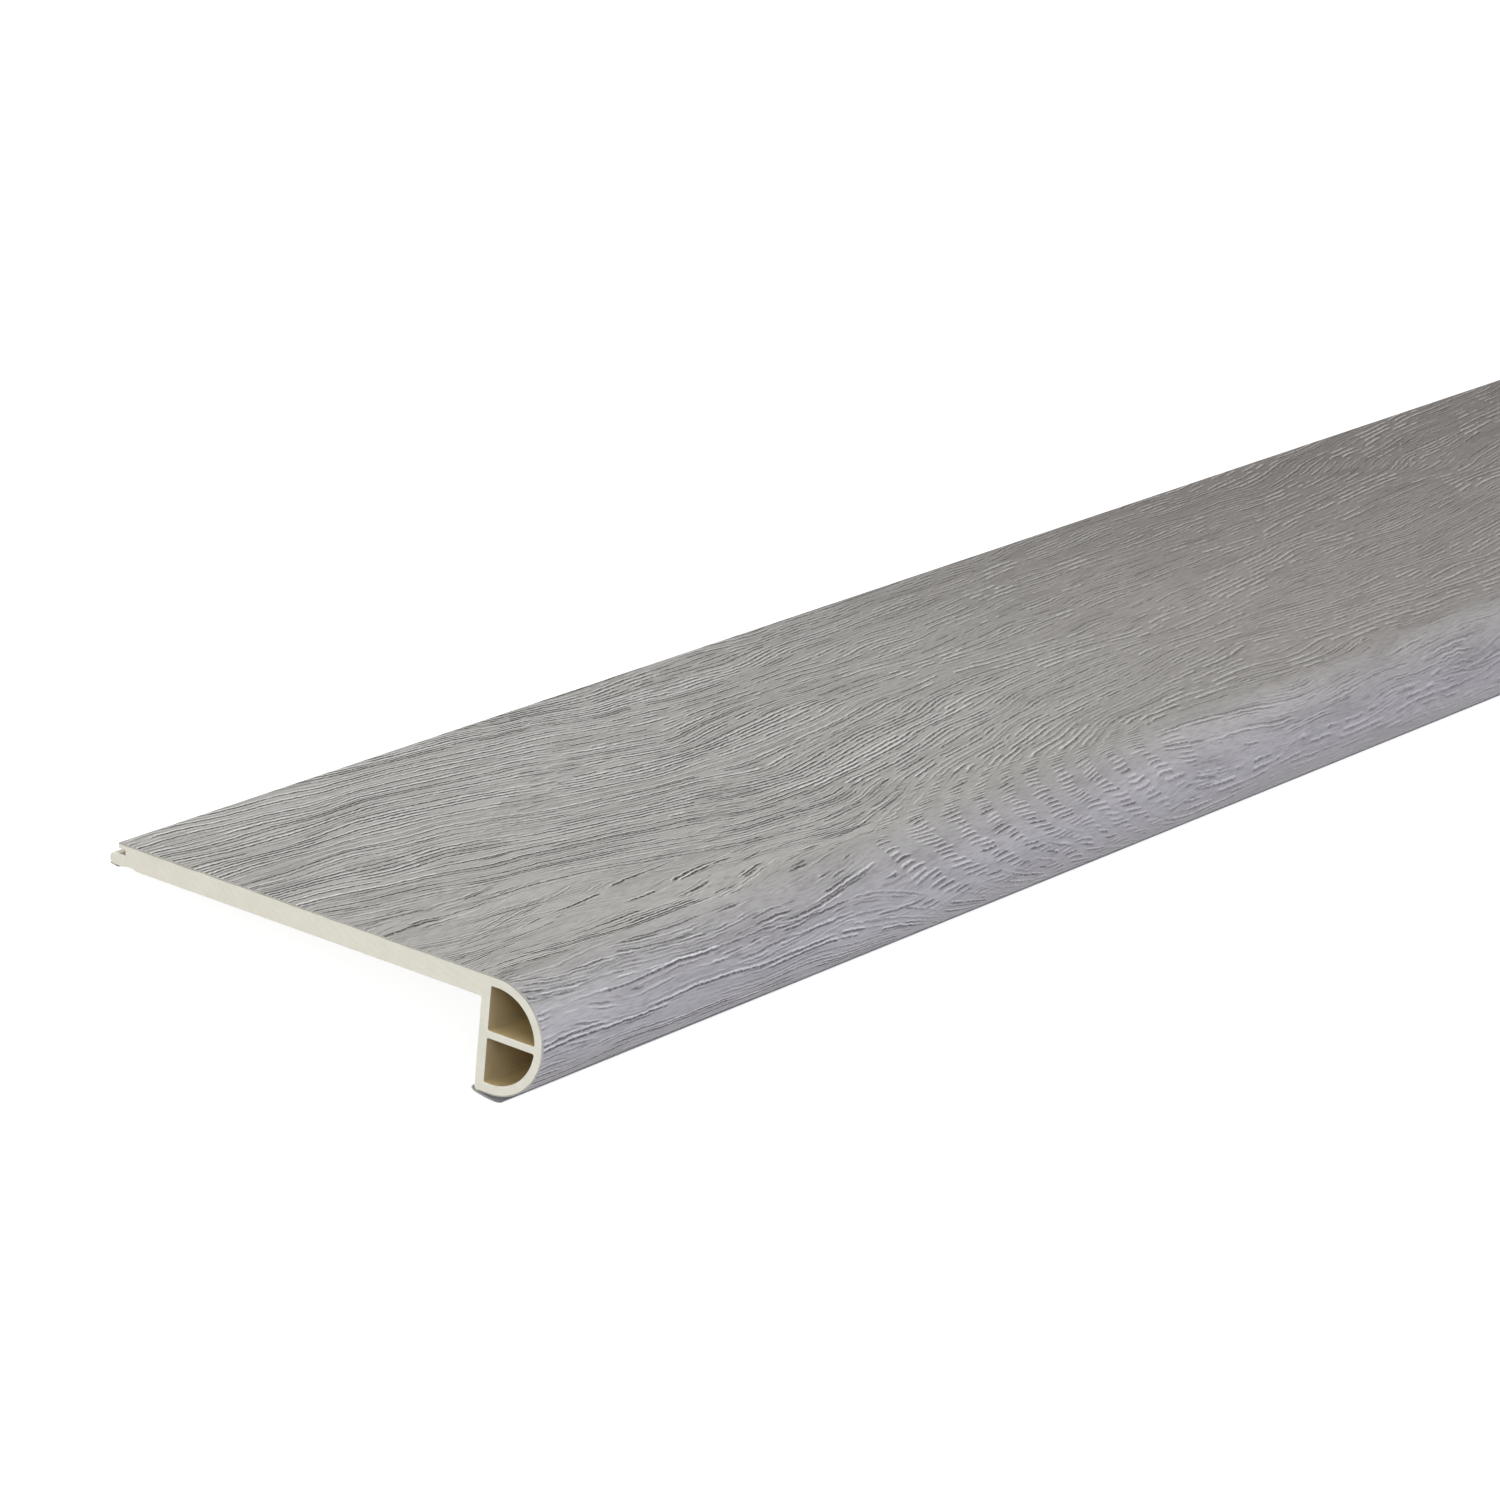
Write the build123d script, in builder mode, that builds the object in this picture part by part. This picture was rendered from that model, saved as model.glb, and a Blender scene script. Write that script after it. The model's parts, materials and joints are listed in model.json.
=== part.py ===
"""Length of flush stair nosing: a hollow bullnose profile with a click tongue, wrapped in a decor film.

The section is drawn as it is fitted on a step: across it runs the depth, from the front of the nose
to the click tongue, and up it runs the height, from the underside of the nose to the walking face.
The length is then laid on a level floor, where it rests on the heel of the nose and on the tongue.
"""

import math
import os

from build123d import *

# Overall sizes, in millimetres
length = 1200.0
face_depth = 112.8
nose_height = 25.0
plate_thickness = 5.0

# Hollow nose
nose_flat = 3.8
nose_wall = 2.2
rib_thickness = 1.6
chamber_round = 0.4
heel_round = 0.8

# Click edge along the back
tongue_reach = 2.2
lip_height = 1.2
groove_height = 1.2
groove_depth = 1.9
lock_dip_depth = 0.4
lock_dip_width = 4.0
lock_dip_setback = 1.0

# Decor film, set flush into the core and ending just short of the heel's rounding
film_thickness = 0.3
film_setback = 0.2

# Nose: a full half round, then a flat that runs back to the heel
nose_radius = nose_height / 2
nose_depth = nose_radius + nose_flat
film_end = nose_depth - heel_round - film_setback
chamber_radius = nose_radius - nose_wall
chamber_back = nose_depth - nose_wall

# Click edge: a lip under the walking face, a groove below it and a round-tipped tongue
underside = nose_height - plate_thickness
film_inside = nose_height - film_thickness
lip_bottom = nose_height - lip_height
groove_back = face_depth - groove_depth
tongue_top = lip_bottom - groove_height
tongue_radius = (tongue_top - underside) / 2
tongue_tip = face_depth + tongue_reach
tongue_centre = (tongue_tip - tongue_radius, underside + tongue_radius)
dip_back = face_depth - lock_dip_setback
dip_front = dip_back - lock_dip_width

# Resting slope: the floor line that touches the heel's rounding and the tongue's rounding from below
heel_centre = (nose_depth - heel_round, heel_round)
rest_run = tongue_centre[0] - heel_centre[0]
rest_rise = tongue_centre[1] - heel_centre[1]
rest_tilt = math.atan2(rest_rise, rest_run) - math.asin(
    (tongue_radius - heel_round) / math.hypot(rest_run, rest_rise)
)
slope_cos = math.cos(rest_tilt)
slope_sin = math.sin(rest_tilt)


def laid(across, up):
    """Place of a point of the section once the length lies on its slope, as (depth, height)."""
    return (slope_cos * across + slope_sin * up, slope_cos * up - slope_sin * across)


# The origin is under the middle of the resting length
floor_height = laid(*heel_centre)[1] - heel_round
front_reach = laid(nose_radius, nose_radius)[0] - nose_radius
back_reach = max(laid(*tongue_centre)[0] + tongue_radius, laid(face_depth, nose_height)[0])
middle_depth = (front_reach + back_reach) / 2
section_plane = Plane(
    origin=(-length / 2, -middle_depth, -floor_height),
    x_dir=(0, slope_cos, -slope_sin),
    z_dir=(1, 0, 0),
)

# Core: plate, click edge and hollow nose in one extrusion
with BuildPart() as core_profile:
    with BuildSketch(section_plane):
        with BuildLine():
            Line((face_depth, film_inside), (nose_radius, film_inside))
            ThreePointArc(
                (nose_radius, film_inside),
                (film_thickness, nose_radius),
                (nose_radius, film_thickness),
            )
            Polyline(
                (nose_radius, film_thickness),
                (film_end, film_thickness),
                (film_end, 0),
                (heel_centre[0], 0),
            )
            RadiusArc((heel_centre[0], 0), (nose_depth, heel_centre[1]), -heel_round)
            Polyline((nose_depth, heel_centre[1]), (nose_depth, underside), (dip_front, underside))
            ThreePointArc(
                (dip_front, underside),
                ((dip_front + dip_back) / 2, underside + lock_dip_depth),
                (dip_back, underside),
            )
            Line((dip_back, underside), (tongue_centre[0], underside))
            ThreePointArc(
                (tongue_centre[0], underside),
                (tongue_tip, tongue_centre[1]),
                (tongue_centre[0], tongue_top),
            )
            Polyline(
                (tongue_centre[0], tongue_top),
                (groove_back, tongue_top),
                (groove_back, lip_bottom),
                (face_depth, lip_bottom),
                (face_depth, film_inside),
            )
        make_face()
    extrude(amount=length)

    # Two chambers, one above the rib and one below it, run through the whole length
    with BuildSketch(section_plane) as chambers:
        with BuildLine():
            ThreePointArc(
                (nose_radius, nose_radius + chamber_radius),
                (nose_wall, nose_radius),
                (nose_radius, nose_radius - chamber_radius),
            )
            Polyline(
                (nose_radius, nose_radius - chamber_radius),
                (chamber_back, nose_radius - chamber_radius),
                (chamber_back, nose_radius + chamber_radius),
                (nose_radius, nose_radius + chamber_radius),
            )
        make_face()
        with Locations((nose_radius, nose_radius)):
            Rectangle(nose_height, rib_thickness, mode=Mode.SUBTRACT)
        fillet(chambers.vertices(), chamber_round)
    extrude(amount=length, mode=Mode.SUBTRACT)

core_profile.part.label = "core_profile"

# Film: one thin sheet over the walking face, round the nose and under it
with BuildPart() as decor_film:
    with BuildSketch(section_plane):
        with BuildLine():
            Line((face_depth, nose_height), (nose_radius, nose_height))
            ThreePointArc((nose_radius, nose_height), (0, nose_radius), (nose_radius, 0))
            Polyline(
                (nose_radius, 0),
                (film_end, 0),
                (film_end, film_thickness),
                (nose_radius, film_thickness),
            )
            ThreePointArc(
                (nose_radius, film_thickness),
                (film_thickness, nose_radius),
                (nose_radius, film_inside),
            )
            Polyline(
                (nose_radius, film_inside),
                (face_depth, film_inside),
                (face_depth, nose_height),
            )
        make_face()
    extrude(amount=length)

decor_film.part.label = "decor_film"

os.makedirs("parts", exist_ok=True)
export_step(core_profile.part, "parts/core_profile.step")
export_step(decor_film.part, "parts/decor_film.step")
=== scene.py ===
"""Looks for a length of flush stair nosing: a cream vinyl core wrapped in an embossed grey oak film.

The packed part gives the section's place and slope. The core and the film are worked out again
from the same section at a finer step, and both stand for their packed solids. The film's mesh also
carries the ring count of the board, and its finish draws the grooves of the grain from that. The
sizes and colours are in the add-on's properties.
"""

import json
import math

import bpy
import numpy as np
from bpy.props import FloatProperty, FloatVectorProperty, IntProperty, PointerProperty
from bpy.types import Operator, Panel, PropertyGroup
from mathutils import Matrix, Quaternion, Vector
from mathutils.geometry import tessellate_polygon


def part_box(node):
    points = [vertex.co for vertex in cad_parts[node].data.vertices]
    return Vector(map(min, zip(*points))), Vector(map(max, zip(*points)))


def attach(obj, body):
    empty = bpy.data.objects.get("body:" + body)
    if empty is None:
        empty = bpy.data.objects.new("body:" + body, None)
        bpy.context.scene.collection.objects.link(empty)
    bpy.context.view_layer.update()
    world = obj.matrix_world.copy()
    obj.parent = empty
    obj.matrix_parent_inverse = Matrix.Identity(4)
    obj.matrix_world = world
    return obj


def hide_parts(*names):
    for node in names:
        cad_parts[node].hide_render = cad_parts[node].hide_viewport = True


bl_info = {
    "name": "Stair nosing",
    "version": (1, 0, 0),
    "blender": (4, 5, 0),
    "location": "3D View > Sidebar > Nosing",
    "description": "Builds a film-wrapped stair nosing and its studio",
    "category": "Add Mesh",
}

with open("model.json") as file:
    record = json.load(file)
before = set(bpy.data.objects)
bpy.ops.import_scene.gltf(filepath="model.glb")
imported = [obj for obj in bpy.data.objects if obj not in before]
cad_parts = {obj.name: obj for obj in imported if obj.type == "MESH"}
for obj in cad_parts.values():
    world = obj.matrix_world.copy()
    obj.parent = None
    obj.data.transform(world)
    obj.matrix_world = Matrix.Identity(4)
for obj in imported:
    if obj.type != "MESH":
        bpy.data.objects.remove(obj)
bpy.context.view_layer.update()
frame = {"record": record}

MM = 0.001


# Sizes and colours


def quantity(name, description, value, **settings):
    """A number property that can't go below nothing."""
    return FloatProperty(name=name, description=description, default=value, min=0.0, **settings)


def millimetres(name, description, size):
    """A length property whose default is given in millimetres."""
    return quantity(name, description, size * MM, precision=4, subtype="DISTANCE", unit="LENGTH")


def share(name, description, value, top=1.0):
    """A plain factor between nothing and its top value."""
    return quantity(name, description, value, max=top, subtype="FACTOR")


def watts(name, description, power):
    """A lamp's power."""
    return quantity(name, description, power, unit="POWER")


def colour(name, description, red, green, blue):
    """An opaque colour property, in linear values."""
    tint = (red, green, blue, 1.0)
    return FloatVectorProperty(
        name=name, description=description, default=tint, size=4, min=0.0, max=1.0, subtype="COLOR"
    )


class NosingSection(PropertyGroup):
    """Sizes of the section, as it is fitted on a step."""

    face_depth: millimetres("Face depth", "Front of the nose to the lip at the back", 112.8)
    nose_height: millimetres("Nose height", "Underside of the nose to the walking face", 25.0)
    plate_thickness: millimetres("Plate thickness", "Thickness of the flat plate", 5.0)
    nose_flat: millimetres("Nose flat", "Flat behind the half round", 3.8)
    nose_wall: millimetres("Nose wall", "Wall round the two chambers", 2.2)
    rib_thickness: millimetres("Rib thickness", "Rib between the two chambers", 1.6)
    chamber_round: millimetres("Chamber round", "Rounding in the chambers' corners", 0.4)
    heel_round: millimetres("Heel round", "Rounding at the heel of the nose", 0.8)
    tongue_reach: millimetres("Tongue reach", "Reach of the tongue past the lip", 2.2)
    lip_height: millimetres("Lip height", "Lip over the click groove", 1.2)
    groove_height: millimetres("Groove height", "Opening of the click groove", 1.2)
    groove_depth: millimetres("Groove depth", "Depth of the click groove", 1.9)
    lock_dip_depth: millimetres("Lock dip depth", "Hollow under the click edge", 0.4)
    lock_dip_width: millimetres("Lock dip width", "Width of that hollow", 4.0)
    lock_dip_setback: millimetres("Lock dip setback", "Hollow's back edge to the lip", 1.0)
    film_thickness: millimetres("Film thickness", "Thickness of the decor film", 0.3)
    film_setback: millimetres("Film setback", "Film's lower edge to the heel's rounding", 0.2)
    cut_ease: millimetres("Cut ease", "Small bevel that the saw leaves on bare edges", 0.1)


class NosingFilm(PropertyGroup):
    """Print, pores, painted highlights and painted shade, and mesh steps of the decor film."""

    pale: colour("Pale wood", "Smooth late wood of the print", 0.513, 0.508, 0.481)
    deep: colour("Deep wood", "Darker streaks of the print", 0.375, 0.365, 0.340)
    brown: colour("Brown wood", "Warmer stretches along the board", 0.310, 0.283, 0.260)
    # The colour of the pores' bottoms, also used as painted shade in the grooves, on the top of the
    # nose's round and towards its underside
    pore_and_painted_shade: colour("Pore", "Bottom of the pressed pores", 0.050, 0.047, 0.040)
    # Painted highlight: the pale colour laid along the lit side of every groove
    painted_highlight: colour("Crest", "Lit edge along a pore", 0.900, 0.895, 0.865)
    pore_depth: millimetres("Pore depth", "Depth of the pores in the finish", 0.08)
    ragged_cut: millimetres("Ragged cut", "How far the sawn film edge wanders", 0.12)
    steps_along: IntProperty(name="Steps along", description="Steps along the length", default=261, min=8)
    steps_round: IntProperty(name="Steps round", description="Steps over the girth", default=347, min=24)


class NosingCore(PropertyGroup):
    """Colours of the vinyl core, with painted shade for the chamber walls."""

    skin: colour("Extruded skin", "Outside of the bare core", 0.690, 0.668, 0.570)
    sawn: colour("Sawn face", "Cut ends", 0.795, 0.785, 0.735)
    # The chamber walls are the same cream vinyl; this darker brown is painted shade of the chambers'
    # hollows
    inside: colour("Chamber skin", "Walls of the chambers", 0.540, 0.420, 0.225)
    speck: colour("Speck", "Dust left by the saw", 0.120, 0.105, 0.080)


class NosingStage(PropertyGroup):
    """Floor, lamps and sky."""

    floor_colour: colour("Floor", "Pale studio floor", 0.32, 0.32, 0.32)
    key_colour: colour("Key colour", "Colour of the lamp before the near corner", 0.78, 0.88, 1.0)
    front_colour: colour("Front colour", "Colour of the lamp before the nose", 0.84, 0.78, 1.0)
    top_colour: colour("Top colour", "Colour of the lamp above", 1.0, 0.99, 0.99)
    end_colour: colour("End colour", "Colour of the lamp before the near end", 1.0, 0.92, 0.70)
    far_colour: colour("Far colour", "Colour of the lamp beyond the far end", 1.0, 0.99, 0.99)
    key_power: watts("Key power", "Lamp before the near corner", 14.0)
    front_power: watts("Front power", "Lamp before the nose", 22.0)
    top_power: watts("Top power", "Lamp above the near end", 23.5)
    end_power: watts("End power", "Lamp before the near end", 12.2)
    far_power: watts("Far power", "Lamp beyond the far end", 1.0)
    sky_level: share("Sky level", "Even light from all round", 0.02, top=4.0)
    floor_lift: share("Floor lift", "White added to the floor as the camera sees it", 0.9, top=4.0)
    nose_reach: millimetres("Nose shadow", "Gap before the nose that still darkens the floor", 1.6)
    back_reach: millimetres("Back shadow", "Gap under the back that still darkens the floor", 0.3)


# Place of the section in the row frame


def section_axes():
    """Two axes of the section, across the depth and up from the nose to the face, and its corner.

    The step edge face looks across and the glue face looks down, so they give the axes, and the
    line where their planes meet is the inner corner behind the nose.
    """
    mounts = {mount["name"]: mount for mount in frame["record"]["mounts"]}
    across = Vector(mounts["step_edge_face"]["axis"]).normalized()
    up = -Vector(mounts["glue_face"]["axis"]).normalized()
    corner_across = across.dot(Vector(mounts["step_edge_face"]["pos_m"]))
    corner_up = up.dot(Vector(mounts["glue_face"]["pos_m"]))
    return across, up, corner_across * across + corner_up * up


def to_row(sizes, along, across, up):
    """Points of the row frame: the near end plus the length, and the section laid on its slope."""
    across_axis, up_axis, corner = section_axes()
    nose_depth = sizes.nose_height / 2 + sizes.nose_flat
    underside = sizes.nose_height - sizes.plate_thickness
    origin = corner - nose_depth * across_axis - underside * up_axis
    near_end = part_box("core_profile")[0].x
    y = origin.y + across * across_axis.y + up * up_axis.y
    z = origin.z + across * across_axis.z + up * up_axis.z
    return np.stack(np.broadcast_arrays(near_end + along, y, z), axis=-1)


def part_length():
    """Length of the packed core."""
    low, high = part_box("core_profile")
    return high.x - low.x


# Outlines of the section

# Steps of the half round, the heel, the lock dip, the tongue's tip, a chamber's round and its corners
NOSE_STEPS = 72
HEEL_STEPS = 10
DIP_STEPS = 12
TIP_STEPS = 20
CHAMBER_STEPS = 36
CORNER_STEPS = 6
# Least cosine that a mitre is divided by, so that sharp corners aren't thrown far out
MITRE_LIMIT = 0.4
# Angle in degrees over which an edge is shown sharp
SHARP_ANGLE = 38


def arc(centre, radius, start, end, steps):
    """Centre plus radius times the cosine and sine of evenly stepped angles, in degrees."""
    angle = np.radians(np.linspace(start, end, steps + 1))
    across = centre[0] + radius * np.cos(angle)
    up = centre[1] + radius * np.sin(angle)
    return np.column_stack((across, up))


def core_outline(sizes):
    """Outer outline of the core, anticlockwise, with the number of points that lie under the film."""
    radius = sizes.nose_height / 2
    nose_depth = radius + sizes.nose_flat
    film_end = nose_depth - sizes.heel_round - sizes.film_setback
    film_inside = sizes.nose_height - sizes.film_thickness
    underside = sizes.nose_height - sizes.plate_thickness
    lip_bottom = sizes.nose_height - sizes.lip_height
    tongue_top = lip_bottom - sizes.groove_height
    tongue_radius = (tongue_top - underside) / 2
    tongue_centre = (sizes.face_depth + sizes.tongue_reach - tongue_radius, underside + tongue_radius)
    dip_back = sizes.face_depth - sizes.lock_dip_setback
    dip_front = dip_back - sizes.lock_dip_width
    dip_radius = (sizes.lock_dip_width**2 / 4 + sizes.lock_dip_depth**2) / (2 * sizes.lock_dip_depth)
    dip_half = math.degrees(math.asin(sizes.lock_dip_width / 2 / dip_radius))
    dip_centre = ((dip_front + dip_back) / 2, underside + sizes.lock_dip_depth - dip_radius)
    groove_back = sizes.face_depth - sizes.groove_depth
    under_film = np.vstack(
        (
            [(sizes.face_depth, film_inside)],
            arc((radius, radius), radius - sizes.film_thickness, 90, 270, NOSE_STEPS),
            [(film_end, sizes.film_thickness)],
        )
    )
    heel_centre = (nose_depth - sizes.heel_round, sizes.heel_round)
    bare = np.vstack(
        (
            [(film_end, 0.0)],
            arc(heel_centre, sizes.heel_round, -90, 0, HEEL_STEPS),
            [(nose_depth, underside)],
            arc(dip_centre, dip_radius, 90 + dip_half, 90 - dip_half, DIP_STEPS),
            arc(tongue_centre, tongue_radius, -90, 90, TIP_STEPS),
            [(groove_back, tongue_top), (groove_back, lip_bottom)],
            [(sizes.face_depth, lip_bottom)],
        )
    )
    return np.vstack((under_film, bare)), len(under_film)


def round_corner(before, corner, after, radius, steps):
    """Points of a tangent arc in a corner between two straight sides."""
    first = (before - corner) / np.linalg.norm(before - corner)
    second = (after - corner) / np.linalg.norm(after - corner)
    half = math.acos(np.clip(first @ second, -1, 1)) / 2
    middle = (first + second) / np.linalg.norm(first + second)
    centre = corner + middle * radius / math.sin(half)
    start = corner + first * radius / math.tan(half) - centre
    end = corner + second * radius / math.tan(half) - centre
    turn = np.linspace(0, 1, steps + 1)[:, None]
    swing = math.pi - 2 * half
    return centre + (np.sin((1 - turn) * swing) * start + np.sin(turn * swing) * end) / math.sin(swing)


def chamber_outline(sizes, above):
    """One chamber, clockwise: a straight back, a rib side, and the round of the nose between them.

    The lower chamber is worked out first. The upper one is its mirror image in the rib.
    """
    radius = sizes.nose_height / 2
    inner = radius - sizes.nose_wall
    back = radius + sizes.nose_flat - sizes.nose_wall
    rib = radius - sizes.rib_thickness / 2
    rounding = sizes.chamber_round
    rib_meets = radius - math.sqrt(inner**2 - (radius - rib) ** 2)

    # The rounding where the rib meets the round touches the rib's side and the round from inside
    touch_up = rib - rounding
    touch_across = radius - math.sqrt((inner - rounding) ** 2 - (radius - touch_up) ** 2)
    touch_angle = math.degrees(math.atan2(touch_up - radius, touch_across - radius)) % 360
    bottom = np.array((back, radius - inner))
    corner = np.array((back, rib))
    front = np.array((rib_meets, rib))
    floor_end = np.array((radius, radius - inner))
    outline = np.vstack(
        (
            round_corner(corner, bottom, floor_end, rounding, CORNER_STEPS),
            arc((radius, radius), inner, 270, touch_angle, CHAMBER_STEPS),
            arc((touch_across, touch_up), rounding, touch_angle, 90, CORNER_STEPS)[1:],
            round_corner(front, corner, bottom, rounding, CORNER_STEPS),
        )
    )
    if above:
        outline = outline * (1, -1) + (0, sizes.nose_height)
        return outline[::-1]
    return outline


def inset(outline, distance):
    """The outline moved into the solid: each point goes along the mitre of its two sides."""
    ahead = np.roll(outline, -1, axis=0) - outline
    ahead = ahead / np.linalg.norm(ahead, axis=1, keepdims=True)
    behind = np.roll(ahead, 1, axis=0)
    normal_ahead = np.column_stack((-ahead[:, 1], ahead[:, 0]))
    normal_behind = np.column_stack((-behind[:, 1], behind[:, 0]))
    mitre = normal_ahead + normal_behind
    mitre = mitre / np.maximum((mitre * normal_ahead).sum(1, keepdims=True), MITRE_LIMIT)
    return outline + mitre * np.asarray(distance).reshape(-1, 1)


# Meshes


def make_piece(name, points, faces, node):
    """Links a mesh piece at the origin, shaded smooth with crisp corners, in place of its solid."""
    mesh = bpy.data.meshes.new(name)
    mesh.from_pydata(points, [], faces)
    if mesh.validate():
        raise RuntimeError(f"{name} has faces that Blender had to drop")
    mesh.shade_smooth()
    mesh.set_sharp_from_angle(angle=math.radians(SHARP_ANGLE))
    piece = bpy.data.objects.new(name, mesh)
    bpy.context.scene.collection.objects.link(piece)
    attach(piece, "root")
    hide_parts(node)
    return piece


def ring_quads(count, first, second):
    """Quads between two closed rings of points, numbered from their first points."""
    here = np.arange(count)
    following = (here + 1) % count
    return np.column_stack((first + here, first + following, second + following, second + here))


def add_map(mesh, name, places):
    """A UV map whose value at each face corner is given as whole arrays."""
    layer = mesh.uv_layers.new(name=name)
    layer.uv.foreach_set("vector", np.ascontiguousarray(places, dtype=np.float32).ravel())


def add_values(mesh, name, values):
    """A float value for each point of the mesh."""
    layer = mesh.attributes.new(name, "FLOAT", "POINT")
    layer.data.foreach_set("value", np.ascontiguousarray(values, dtype=np.float32).ravel())


def corner_points(mesh):
    """Point number of every face corner."""
    corners = np.empty(len(mesh.loops), dtype=np.int32)
    mesh.loops.foreach_get("vertex_index", corners)
    return corners


# Room on the core's bake map: heights of the three profiles' sides, then of the two cut faces
SIDE_ROOM = ((0.0, 0.39), (0.40, 0.47), (0.48, 0.55))
CUT_ROOM = (0.56, 0.78)


def side_map(outline, stations, low, high):
    """Bake map of one profile's sides: the length across, and the girth between two heights."""
    steps = np.linalg.norm(np.roll(outline, -1, axis=0) - outline, axis=1)
    girth = np.concatenate(([0.0], np.cumsum(steps)))
    height = low + (high - low) * girth / girth[-1]
    here, following = height[:-1], height[1:]
    strips = []
    for start, end in zip(stations[:-1], stations[1:]):
        across = np.broadcast_to(np.array((start, start, end, end)) / stations[-1], (len(outline), 4))
        strips.append(np.stack((across, np.stack((here, following, following, here), axis=1)), axis=-1))
    return np.concatenate(strips)


def core_surface(sizes):
    """Core as three closed profiles carried along the length, with sawn end faces.

    Each profile has four stations: the cut face, the end of the small bevel, and the same again at
    the far end. Points under the film keep their place at the cut, so that the film sits tight.
    Returns the points, the faces, each face's place in the section, and a bake map of its corners.
    """
    length = part_length()
    outer, covered = core_outline(sizes)
    profiles = [outer, chamber_outline(sizes, False), chamber_outline(sizes, True)]
    eases = [np.full(len(outline), sizes.cut_ease) for outline in profiles]
    eases[0][:covered] = 0.0
    cut = [inset(outline, ease) for outline, ease in zip(profiles, eases)]
    stations = np.array((0.0, sizes.cut_ease, length - sizes.cut_ease, length))
    points = []
    sides = []
    bands = []
    maps = []
    total = 0
    for band, (outline, cut_outline) in enumerate(zip(profiles, cut)):
        count = len(outline)
        for at_end, along in zip((True, False, False, True), stations):
            shape = cut_outline if at_end else outline
            points.append(to_row(sizes, along, shape[:, 0], shape[:, 1]))
        for strip in range(3):
            sides.append(ring_quads(count, total + strip * count, total + (strip + 1) * count))
            bands.append(np.full(count, 3 * band + strip))
        maps.append(side_map(outline, stations, *SIDE_ROOM[band]).reshape(-1, 2))
        total += 4 * count
    near_rings = np.concatenate(cut)
    rings = [[Vector((x, y, 0)) for x, y in outline] for outline in cut]
    cap = np.array(tessellate_polygon(rings))
    a, b, c = (near_rings[cap[:, k]] for k in range(3))
    turn = (b[:, 0] - a[:, 0]) * (c[:, 1] - a[:, 1]) - (b[:, 1] - a[:, 1]) * (c[:, 0] - a[:, 0])
    cap = np.where((turn < 0)[:, None], cap[:, ::-1], cap)
    counts = np.array([len(outline) for outline in profiles])
    ring_start = np.repeat(np.concatenate(([0], np.cumsum(counts)[:-1])) * 3, counts)
    near_index = np.arange(counts.sum()) + ring_start
    far_index = near_index + 3 * np.repeat(counts, counts)
    faces = np.vstack(sides).tolist() + near_index[cap[:, ::-1]].tolist() + far_index[cap].tolist()
    part_of = np.concatenate((np.concatenate(bands), np.full(2 * len(cap), -1)))

    # The two cut faces lie side by side above the sides, at one scale
    flat = near_rings / near_rings[:, 0].max()
    for order, low in zip((cap[:, ::-1], cap), CUT_ROOM):
        maps.append((flat[order] + (0.0, low)).reshape(-1, 2))
    return np.vstack(points), faces, part_of, np.vstack(maps)


def film_path(sizes, girth):
    """Section of the film's outside by girth: flat face, half round, flat underneath.

    Returns the place across and up, and the outward direction across and up.
    """
    radius = sizes.nose_height / 2
    flat = sizes.face_depth - radius
    angle = np.clip((girth - flat) / radius, 0, math.pi)
    before = np.minimum(girth, flat)
    after = np.maximum(girth - flat - math.pi * radius, 0)
    across = sizes.face_depth - before - radius * np.sin(angle) + after
    up = radius + radius * np.cos(angle)
    return across, up, -np.sin(angle), np.cos(angle)


def film_girth(sizes):
    """Girth of the film, from the lip over the nose to its lower edge."""
    radius = sizes.nose_height / 2
    flat = sizes.face_depth - radius
    under = sizes.nose_flat - sizes.heel_round - sizes.film_setback
    return flat + math.pi * radius + under


# Grain of the print

# Waves of the grain: length, girth between two crests, and height, in metres
WAVES = (
    (0.210, 0.060, 0.770 * MM),
    (0.125, 0.045, 0.525 * MM),
    (0.083, 0.030, 0.315 * MM),
    (0.047, 0.024, 0.245 * MM),
    (0.031, 0.022, 0.175 * MM),
)
WAVE_SEED = 11
RAGGED_SEED = 5
# Mesh steps of the girth for each turn of the ragged edge
RAGGED_STEPS = 6
# A slant starts to count at this many rings in a millimetre of the length, and is whole at twice that
LEAST_SLOPE = 0.02


def wander(along, girth):
    """Slow sideways waves of the grain, as a sum of sines that run along the length."""
    chance = np.random.default_rng(WAVE_SEED)
    shift = np.zeros(np.broadcast(along, girth).shape)
    for wave_length, wave_girth, height in WAVES:
        for lean in (-1, 1):
            phase = chance.uniform(0, 2 * math.pi)
            turn = 2 * math.pi * (along / wave_length + lean * girth / wave_girth)
            shift = shift + height * np.sin(turn + phase)
    return shift


def soft_ramp(value, soft):
    """Smooth version of the larger of the value and nothing."""
    return 0.5 * (value + np.sqrt(value**2 + soft**2))


# Flat-sawn figures: where the rings start to close, where the last one has, how many close, and
# the run over which they open again
FIGURES = (
    (-0.260, -0.130, 4.0, 0.300),
    (0.129, 0.238, 10.9, 0.900),
    (0.520, 0.690, 12.0, 0.200),
    (0.900, 1.010, 12.0, 0.260),
)
# Heart line of the board, as places along and girths from the lip, and how far the rings bow there
HEART_ALONG = (0.0, 0.060, 0.145, 0.248, 0.42, 0.69, 0.86, 1.01, 1.2)
HEART_GIRTH = (0.095, 0.100, 0.1074, 0.1085, 0.106, 0.066, 0.060, 0.084, 0.092)
HEART_BOW = (0.0, 0.08, 1.0, 1.0, 0.45, 1.0, 0.3, 1.0, 0.3)


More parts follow.
